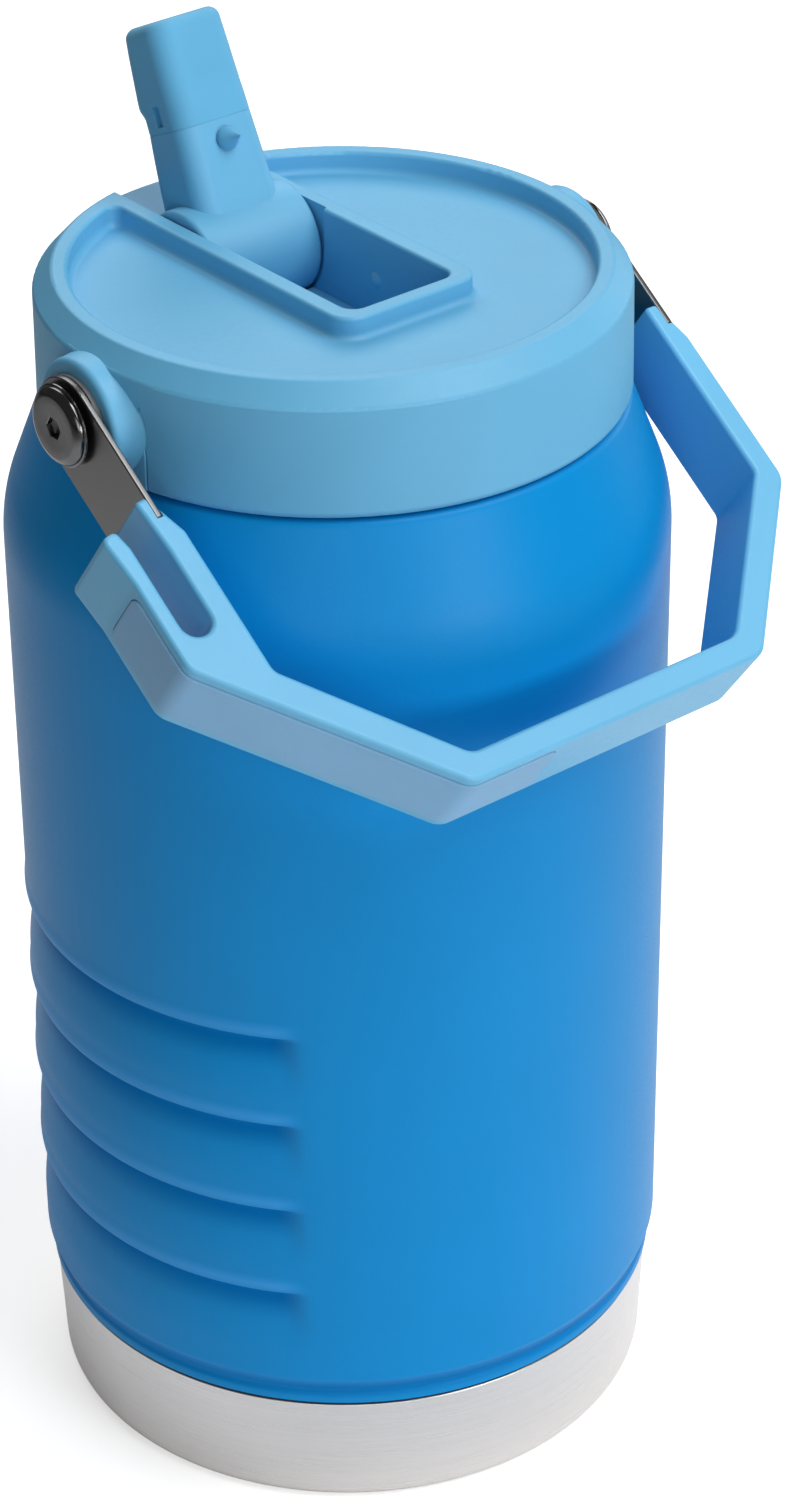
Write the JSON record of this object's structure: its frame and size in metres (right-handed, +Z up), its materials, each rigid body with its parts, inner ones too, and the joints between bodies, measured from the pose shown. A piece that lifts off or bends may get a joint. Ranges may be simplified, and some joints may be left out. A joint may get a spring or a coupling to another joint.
{
  "type": "insulated water jug",
  "caption": "Tall insulated steel jug with a screw lid, fold-down drinking spout, straw and a swinging bail handle with a hook on one arm.",
  "frame": {"origin": "centre of the base, on the surface the jug stands on", "axes": "+Z up along the jug; X along the bail's pivot axis, the hook arm on -X; +Y the way the raised spout leans, the bail hangs on the -Y side"},
  "size_m": [0.1427, 0.1501, 0.2915],
  "materials": {
    "painted_shell": "fine powder coat, satin",
    "bare_steel": "brushed around the axis",
    "getter": "sintered, matte",
    "silicone": "translucent white, matte",
    "lid_plastic": "fine moulded texture",
    "liner_plastic": "moulded, smooth",
    "brass_insert": "knurled",
    "nylon": "natural, satin",
    "polished_steel": "polished",
    "strap_steel": "brushed along the strap",
    "straw_plastic": "smooth, slightly clear",
    "soft_mouthpiece": "soft, matte",
    "handle_plastic": "fine moulded texture",
    "grip_soft": "soft overmould, matte"
  },
  "bodies": {
    "jug_body": {"outer_shell": "painted_shell", "base_cup": "bare_steel", "base_disc": "bare_steel", "inner_vessel": "bare_steel", "neck_ring": "bare_steel", "getter_tablet": "getter"},
    "lid_thread": {"lid_gasket": "silicone"},
    "lid": {"lid_body": "lid_plastic", "lid_liner": "liner_plastic", "pivot_mount_left": "lid_plastic", "pivot_mount_right": "lid_plastic", "pivot_insert_left": "brass_insert", "pivot_insert_right": "brass_insert", "pivot_washer_left": "nylon", "pivot_washer_right": "nylon", "pivot_screw_left": "polished_steel", "pivot_screw_right": "polished_steel", "spout_seal": "silicone", "spout_pin_left": "polished_steel", "spout_pin_right": "polished_steel", "vent_valve": "silicone", "straw": "straw_plastic"},
    "spout": {"spout_base": "lid_plastic", "mouthpiece": "soft_mouthpiece", "vent_plug": "soft_mouthpiece"},
    "bail": {"bail_handle": "handle_plastic", "grip_panel": "grip_soft", "strap_left": "strap_steel", "strap_right": "strap_steel", "strap_bush_left": "nylon", "strap_bush_right": "nylon"}
  },
  "joints": [
    {"name": "lid_lift", "type": "slide", "parent": "jug_body", "child": "lid_thread", "axis": [0, 0, 1], "range_m": [0, 0.0121]},
    {"name": "lid_turn", "type": "hinge", "parent": "lid_thread", "child": "lid", "pos_m": [0, 0, 0.2406], "axis": [0, 0, 1], "range_deg": [0, 540]},
    {"name": "spout_flip", "type": "hinge", "parent": "lid", "child": "spout", "pos_m": [0, 0.031, 0.246], "axis": [1, 0, 0], "range_deg": [0, 114]},
    {"name": "bail_swing", "type": "hinge", "parent": "lid", "child": "bail", "pos_m": [0, 0, 0.2406], "axis": [1, 0, 0], "range_deg": [-251.4, 0]}
  ],
  "couplings": [
    {"joint": "lid_lift", "follows": "lid_turn", "m_per_rad": 0.0012732}
  ]
}
